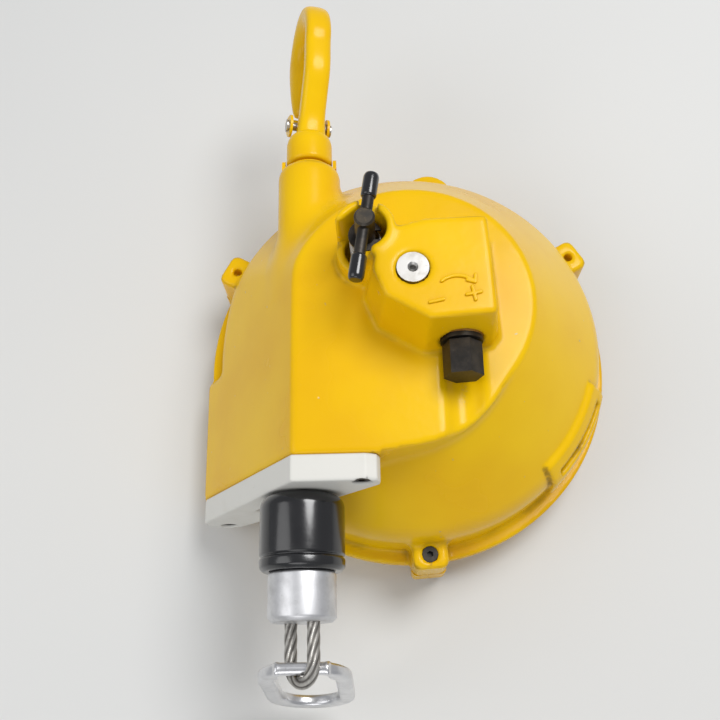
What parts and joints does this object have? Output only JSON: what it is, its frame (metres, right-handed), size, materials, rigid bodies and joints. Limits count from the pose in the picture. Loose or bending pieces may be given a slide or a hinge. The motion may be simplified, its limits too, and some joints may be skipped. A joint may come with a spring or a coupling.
{
  "type": "spring balancer",
  "caption": "Spring balancer with a tapered rope drum, worm tension adjuster, drum lock, swivel safety hook, wire rope, rubber bumper and end link.",
  "frame": {"origin": "on the main shaft's axis, in the flat back face that the part rests on", "axes": "+Z along the main shaft, out of the front with the adjuster; +Y towards the suspension hook; the rope leaves towards -Y; +X to the right seen from the front"},
  "size_m": [0.2425, 0.4027, 0.1806],
  "materials": {
    "enamel": "gloss enamel with orange peel, chipped on the edges",
    "nylon": "milled nylon, slightly soiled",
    "rubber": "smooth black rubber",
    "bronze": "turned",
    "plated": "dulled yellow plating",
    "polished_steel": "satin",
    "rope": "stranded galvanised wire",
    "forged_steel": "forged and plated, dull",
    "black_steel": "black oxide",
    "aluminium": "cast and turned",
    "steel": "turned"
  },
  "bodies": {
    "case": {"front_case": "enamel", "back_cover": "enamel", "cover_screws": "black_steel", "wire_guide": "nylon", "guide_screws": "black_steel", "bearing_plate": "aluminium", "bearing_plate_screws": "black_steel", "front_bush": "bronze", "rear_bush": "bronze", "worm_bushes": "bronze", "neck_bush": "bronze", "tab_washer": "enamel", "lock_bush": "steel", "lock_spring": "steel"},
    "arbor": {"main_shaft": "steel", "worm_wheel": "bronze", "wheel_key": "steel", "shaft_circlips": "black_steel", "spring_arbor": "steel", "mainspring": "black_steel"},
    "worm": {"worm_shaft": "black_steel", "worm_washer": "black_steel", "worm_circlip": "black_steel"},
    "drum": {"rope_drum": "aluminium", "drum_bearings": "bronze", "lock_ring": "black_steel", "lock_ring_screws": "steel", "spring_cup": "aluminium", "drum_screws": "black_steel", "spring_cover": "aluminium", "spring_cover_screws": "black_steel", "spring_anchor_pin": "black_steel", "rope_windings": "rope", "rope_anchor": "black_steel"},
    "rope_end": {"rope_run": "rope", "rubber_bumper": "rubber", "ferrule": "polished_steel", "rope_eye": "rope"},
    "link": {"end_link": "polished_steel"},
    "hook": {"hook": "enamel", "hook_nut": "steel", "nut_pin": "forged_steel", "thrust_bearing": "steel", "latch_pin": "steel", "latch_spring": "steel"},
    "latch": {"latch": "enamel"},
    "lock": {"lock_pin": "plated", "lock_bar": "plated", "lock_grips": "rubber", "lock_circlip": "black_steel"}
  },
  "joints": [
    {"name": "arbor_adjust", "type": "hinge", "parent": "case", "child": "arbor", "pos_m": [0, 0, 0.1], "axis": [0, 0, 1], "range_deg": [-180, 180]},
    {"name": "worm_spin", "type": "hinge", "parent": "case", "child": "worm", "pos_m": [0.0235, 0, 0.1445], "axis": [0, 1, 0], "range_deg": [-4140, 4140]},
    {"name": "drum_spin", "type": "hinge", "parent": "case", "child": "drum", "pos_m": [0, 0, 0.08], "axis": [0, 0, 1], "range_deg": [0, 1260], "stiffness_Nm_per_rad": 0.02, "springref_deg": -114.59},
    {"name": "rope_pull", "type": "slide", "parent": "case", "child": "rope_end", "axis": [0, -1, 0], "range_m": [0, 1.455], "deforming": ["rope_run"]},
    {"name": "link_swing", "type": "hinge", "parent": "rope_end", "child": "link", "pos_m": [-0.058, -0.1772, 0.102], "axis": [-1, 0, 0], "range_deg": [-12, 83]},
    {"name": "hook_swivel", "type": "hinge", "parent": "case", "child": "hook", "pos_m": [-0.0545, 0.09, 0.102], "axis": [0, 1, 0], "continuous": true},
    {"name": "latch_swing", "type": "hinge", "parent": "hook", "child": "latch", "pos_m": [-0.05538, 0.128, 0.09913], "axis": [0.9563, 0, -0.2924], "range_deg": [0, 38], "stiffness_Nm_per_rad": 0.05, "springref_deg": -28.65},
    {"name": "lock_slide", "type": "slide", "parent": "case", "child": "lock", "axis": [0, 0, -1], "range_m": [0, 0.005], "deforming": ["lock_spring"]}
  ],
  "couplings": [
    {"joint": "worm_spin", "follows": "arbor_adjust", "ratio": -23},
    {"joint": "rope_pull", "follows": "drum_spin", "m_per_rad": 0.0661}
  ]
}
